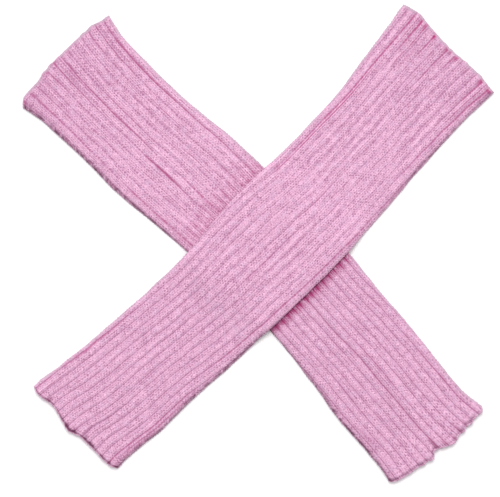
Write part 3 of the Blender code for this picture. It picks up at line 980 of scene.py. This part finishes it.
# The shader nodes that are used again and again, and their settings
MATH = "ShaderNodeMath"
VECTOR_MATH = "ShaderNodeVectorMath"
NOISE = "ShaderNodeTexNoise"
MAP_RANGE = "ShaderNodeMapRange"
TIMES = {"operation": "MULTIPLY"}
SCALE_AND_ADD = {"operation": "MULTIPLY_ADD"}
POWER = {"operation": "POWER"}
MIX = {"data_type": "RGBA"}

# The yarn in sRGB, from its lit fibres to its depths in painted shade, and what tints it: lilac
# patches of the marl, painted shade in the gutters, painted deep pink shade in creases, pinches and
# beside the covering leg warmer, painted light on the fuzz of lit edges, and painted shade on the
# shaded edges
YARN_LIT = "EEBED9"
YARN_MIDDLE = "D09CBB"
YARN_DEEP = "A06D8E"
YARN_LILAC = "D3B4D1"
YARN_GUTTER_SHADE = "B27097"
YARN_PINK_SHADE = "B23C78"
YARN_LIT_EDGE = "BFA4B5"
YARN_SHADED = "5C2847"
SHEEN_TINT = "F6DCEC"
FLOOR_WHITE = "F7F7F7"

# How large the yarn's noises are, in millimetres. The marl and the hairs of real brushed acrylic are
# under 0.1 mm, too fine to show, so they are drawn as specks and hairs as coarse as they need to be.
WANDER = 2.38
CLUSTER = 9.09
PATCH = 4.35
SPECK = 0.625
HAIR = 0.3846

# The drawn stitches: how far they wander, in ribs and courses, how full their legs are, how a loop
# swells on its course, how open its hole is, and how much more so in the few that chance picks
WANDER_BY = (0.08, 0.8, 0.0)
LEG_FULLNESS = 0.6
LOOP_SWELL = 0.3
HOLE_MARGIN = 0.1
HOLE_OPENS = 0.4
LOOSE_OPENS = 3.6
LOOSE_IS_RARE = 4.0

# Where the holes are most open, and so darkest in painted shade: in clusters, where the cloth is
# stretched, and toward the gutters
NOISE_LOW = 0.35
NOISE_HIGH = 0.65
CLUSTER_LEAST = 0.74
CLUSTER_MOST = 0.96
STRETCH_OPENS = 0.45
SHADE_OPENS = 1.5
LIGHT_OPENS = 0.2

# How much each thing adds to how deep a spot of the knit lies in painted shade: deeper in holes,
# lighter on loops, with random patches and specks, and the range that they span
LOOP_DEPTH = -0.22
HOLE_DEPTH = 3.1
PATCH_DEPTH = 0.2
SPECK_DEPTH = 5.9
LEAST_DEPTH = 2.34
MOST_DEPTH = 5.28
MIDDLE_AT = 0.4

# How strongly the lilac patches and the painted shade of the gutters tint the yarn, and where they
# start and end
LILAC = 0.3
LILAC_START = 0.45
LILAC_END = 0.7
GUTTER_SHADE_TINT = 0.35
GUTTER_SHADE_START = 0.55
GUTTER_SHADE_END = 1.5

# The relief that is too fine for the mesh: its height in millimetres, how strongly it shows, and how
# high its hairs are beside its loops
BUMP_HEIGHT = 0.4
BUMP_STRENGTH = 0.6
HAIR_SHARE = 0.4


def grains(size):
    """The scale of a noise whose grains are about this many millimetres apart."""
    return 1.0 / (size * MM)


def stitches(tree, place):
    """The stitches: how high the yarn stands at a spot, and how open the holes between its legs are.

    Each wale has two slanting legs of yarn, with a hole beside them on every course.
    """
    pattern = node(tree, "ShaderNodeUVMap", {"uv_map": "knit"})
    wobble = node(tree, NOISE, Vector=place, Scale=grains(WANDER), Detail=1.0)
    about_nought = node(tree, VECTOR_MATH, {"operation": "SUBTRACT"},
                        i0=wobble.outputs["Color"], i1=(0.5, 0.5, 0.5))
    moved = node(tree, VECTOR_MATH, SCALE_AND_ADD, i0=about_nought, i1=WANDER_BY, i2=pattern)
    rib, course = node(tree, "ShaderNodeSeparateXYZ", i0=moved).outputs[:2]
    wale = node(tree, MATH, TIMES, i0=rib, i1=2.0)
    in_wale = node(tree, MATH, {"operation": "FRACT"}, i0=wale)
    off_middle = node(tree, MATH, SCALE_AND_ADD, i0=in_wale, i1=2.0, i2=-1.0)
    from_middle = node(tree, MATH, {"operation": "ABSOLUTE"}, i0=off_middle)
    off_leg = node(tree, MATH, SCALE_AND_ADD, i0=from_middle, i1=2.0, i2=-1.0)
    from_leg = node(tree, MATH, {"operation": "ABSOLUTE"}, i0=off_leg)
    on_leg = node(tree, MATH, SCALE_AND_ADD, i0=from_leg, i1=-1.0, i2=1.0)
    roundness = node(tree, MATH, POWER, i0=on_leg, i1=LEG_FULLNESS)
    up = node(tree, MATH, SCALE_AND_ADD, i0=from_middle, i1=-STITCH_SLANT, i2=course)
    angle = node(tree, MATH, TIMES, i0=up, i1=2.0 * math.pi)
    wave = node(tree, MATH, {"operation": "COSINE"}, i0=angle)
    crest = node(tree, MATH, SCALE_AND_ADD, i0=wave, i1=LOOP_SWELL, i2=1.0 - LOOP_SWELL)
    loop = node(tree, MATH, TIMES, i0=roundness, i1=crest)

    # A hole lies between two legs, where the loop is lowest, and is wider in a loose stitch
    narrow = node(tree, MATH, POWER, i0=from_leg, i1=2.0)
    dip = node(tree, MATH, {**SCALE_AND_ADD, "use_clamp": True}, i0=wave, i1=-1.0, i2=HOLE_MARGIN)
    hole = node(tree, MATH, TIMES, i0=narrow, i1=dip)
    spot = node(tree, "ShaderNodeCombineXYZ", X=wale, Y=up)
    stitch = node(tree, VECTOR_MATH, {"operation": "FLOOR"}, i0=spot)
    chance = node(tree, "ShaderNodeTexWhiteNoise", {"noise_dimensions": "2D"}, Vector=stitch)
    rare = node(tree, MATH, POWER, i0=chance, i1=LOOSE_IS_RARE)
    loose = node(tree, MATH, SCALE_AND_ADD, i0=rare, i1=LOOSE_OPENS, i2=HOLE_OPENS)
    return loop, node(tree, MATH, TIMES, i0=hole, i1=loose)


def depth_in_knit(tree, place, loop, holes, patches, shade, opened):
    """How deep in painted shade a spot of the knit is, from 0 on its lit fibres to 1 in its holes."""
    clusters = node(tree, NOISE, Vector=place, Scale=grains(CLUSTER), Detail=1.0)
    cluster = node(tree, MAP_RANGE, Value=clusters, From_Min=NOISE_LOW, From_Max=NOISE_HIGH,
                   To_Min=CLUSTER_LEAST, To_Max=CLUSTER_MOST)
    stretch = node(tree, MATH, SCALE_AND_ADD, i0=opened, i1=STRETCH_OPENS, i2=cluster)
    near_gutter = node(tree, MATH, SCALE_AND_ADD, i0=shade, i1=SHADE_OPENS, i2=LIGHT_OPENS)
    clustered = node(tree, MATH, TIMES, i0=holes, i1=stretch)
    open_holes = node(tree, MATH, TIMES, i0=clustered, i1=near_gutter)
    specks = node(tree, NOISE, Vector=place, Scale=grains(SPECK), Detail=1.0)
    total = shade
    for part, weight in ((loop, LOOP_DEPTH), (open_holes, HOLE_DEPTH), (patches, PATCH_DEPTH),
                         (specks, SPECK_DEPTH)):
        total = node(tree, MATH, SCALE_AND_ADD, i0=part, i1=weight, i2=total)
    return node(tree, MAP_RANGE, Value=total, From_Min=LEAST_DEPTH, From_Max=MOST_DEPTH)


def yarn_colour(tree, depth, patches, shade, side, blush):
    """The colour of the knit from its painted depth, its marl and the painted shades laid on its
    points.
    """
    ramp = node(tree, "ShaderNodeValToRGB", Fac=depth)
    stops = ramp.color_ramp.elements
    stops[0].position, stops[0].color = 0.0, linear(YARN_LIT)
    stops[1].position, stops[1].color = 1.0, linear(YARN_DEEP)
    stops.new(MIDDLE_AT).color = linear(YARN_MIDDLE)
    patch = node(tree, MAP_RANGE, Value=patches, From_Min=LILAC_START, From_Max=LILAC_END,
                 To_Max=LILAC)
    # Painted shade in the gutters
    gutter_shade = node(tree, MAP_RANGE, Value=shade, From_Min=GUTTER_SHADE_START,
                     From_Max=GUTTER_SHADE_END, To_Max=GUTTER_SHADE_TINT)
    # Painted deep pink shade in creases, fine lines, pinches and beside the covering leg warmer
    pink_in_shade = node(tree, MATH, {**TIMES, "use_clamp": True}, i0=blush, i1=shade)
    # Painted light where light catches the fuzz of lit edges, and painted shade on the shaded edges
    lit = node(tree, MATH, {**TIMES, "use_clamp": True}, i0=side, i1=-1.0)
    colour = ramp
    for share, tint in ((patch, YARN_LILAC), (gutter_shade, YARN_GUTTER_SHADE), (pink_in_shade, YARN_PINK_SHADE),
                        (lit, YARN_LIT_EDGE), (side, YARN_SHADED)):
        colour = node(tree, "ShaderNodeMix", MIX, i0=share, i6=colour, i7=linear(tint))
    return colour.outputs[2]


def brushed_acrylic_knit():
    """Brushed acrylic knit: matt, mottled, with painted shade and painted light on the fuzz of its
    edges.
    """
    material = bpy.data.materials.new("brushed_acrylic_knit")
    material.use_nodes = True
    tree = material.node_tree
    shader = tree.nodes["Principled BSDF"]
    for name, value in (("Roughness", 0.9), ("Specular IOR Level", 0.25), ("Sheen Weight", 0.08),
                        ("Sheen Roughness", 0.5), ("Sheen Tint", linear(SHEEN_TINT))):
        shader.inputs[name].default_value = value
    shade, side, opened, blush = [
        node(tree, "ShaderNodeAttribute", {"attribute_name": name}).outputs["Fac"]
        for name in ("shade", "side", "opened", "blush")]
    place = node(tree, "ShaderNodeTexCoord").outputs["Object"]
    patches = node(tree, NOISE, Vector=place, Scale=grains(PATCH), Detail=2.0)
    loop, holes = stitches(tree, place)
    depth = depth_in_knit(tree, place, loop, holes, patches, shade, opened)
    tree.links.new(yarn_colour(tree, depth, patches, shade, side, blush),
                   shader.inputs["Base Color"])
    hairs = node(tree, NOISE, Vector=place, Scale=grains(HAIR), Detail=3.0)
    height = node(tree, MATH, SCALE_AND_ADD, i0=hairs, i1=HAIR_SHARE, i2=loop)
    bump = node(tree, "ShaderNodeBump", Strength=BUMP_STRENGTH, Distance=BUMP_HEIGHT * MM,
                Height=height)
    tree.links.new(bump.outputs["Normal"], shader.inputs["Normal"])
    return material


def pale_floor():
    """A plain pale studio floor, painted matt, so that the pair stands out with a soft shadow."""
    material = bpy.data.materials.new("matt_studio_floor")
    material.use_nodes = True
    shader = material.node_tree.nodes["Principled BSDF"]
    shader.inputs["Base Color"].default_value = linear(FLOOR_WHITE)
    shader.inputs["Roughness"].default_value = 0.8
    return material


# The studio, in metres and watts, with the camera's sensor in millimetres. The photograph shows
# 372.5 mm of the table from side to side, a little off the pair's middle.
FLOOR_SIZE = 4.0
FLOOR_DROP = 0.0003
KEY_PLACE = (-0.05, 0.6, 1.9)
KEY_SIZE = 0.8
KEY_POWER = 23.0
FOOT_GLOW = 0.5
HEAD_GLOW = 1.1
PICTURE_WIDTH = 0.3725
PICTURE_MIDDLE = (-0.0056, -0.0034)
CAMERA_HEIGHT = 1.6
SENSOR = 36.0


def add_floor():
    """The floor, a hair below the pair."""
    sheet = bmesh.new()
    bmesh.ops.create_grid(sheet, x_segments=1, y_segments=1, size=FLOOR_SIZE)
    bmesh.ops.translate(sheet, verts=sheet.verts, vec=(0.0, 0.0, -FLOOR_DROP))
    mesh = bpy.data.meshes.new("floor")
    sheet.to_mesh(mesh)
    sheet.free()
    mesh.materials.append(pale_floor())
    floor = bpy.data.objects.new("floor", mesh)
    bpy.context.scene.collection.objects.link(floor)


def add_key_light():
    """A large soft light past the top of the picture, aimed at the pair."""
    lamp = bpy.data.lights.new("key_light", "AREA")
    lamp.shape = "DISK"
    lamp.size = KEY_SIZE
    lamp.energy = KEY_POWER
    light = bpy.data.objects.new("key_light", lamp)
    light.location = KEY_PLACE
    light.rotation_euler = (-Vector(KEY_PLACE)).to_track_quat("-Z", "Y").to_euler()
    bpy.context.scene.collection.objects.link(light)


def add_surround():
    """A pale surround, twice as bright past the top of the picture as past its foot."""
    world = bpy.data.worlds.new("studio")
    world.use_nodes = True
    tree = world.node_tree
    back = tree.nodes["Background"]
    toward = node(tree, "ShaderNodeTexCoord").outputs["Generated"]
    toward_head = node(tree, "ShaderNodeSeparateXYZ", i0=toward).outputs["Y"]
    strength = node(tree, MAP_RANGE, Value=toward_head, From_Min=-1.0, From_Max=1.0,
                    To_Min=FOOT_GLOW, To_Max=HEAD_GLOW)
    tree.links.new(strength.outputs[0], back.inputs["Strength"])
    back.inputs["Color"].default_value = (1.0, 1.0, 1.0, 1.0)
    bpy.context.scene.world = world
    bpy.context.scene.view_settings.view_transform = "Standard"


def add_camera():
    """The camera straight above, with the photograph's width in view."""
    camera = bpy.data.cameras.new("camera")
    camera.sensor_width = SENSOR
    camera.lens = SENSOR * CAMERA_HEIGHT / PICTURE_WIDTH
    camera.clip_end = 20.0
    holder = bpy.data.objects.new("camera", camera)
    holder.location = (*PICTURE_MIDDLE, CAMERA_HEIGHT)
    bpy.context.scene.collection.objects.link(holder)
    bpy.context.scene.camera = holder


def main():
    """The studio, and in it the two leg warmers, each knitted in place of its plain solid."""
    add_key_light()
    add_surround()
    add_camera()
    add_floor()
    yarn = brushed_acrylic_knit()
    for leg in (UNDER, OVER):
        mesh = knit_tube(leg)
        mesh.materials.append(yarn)
        tube = bpy.data.objects.new(leg.node + "_knit", mesh)
        bpy.context.scene.collection.objects.link(tube)
        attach(tube, "root")
        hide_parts(leg.node)


main()
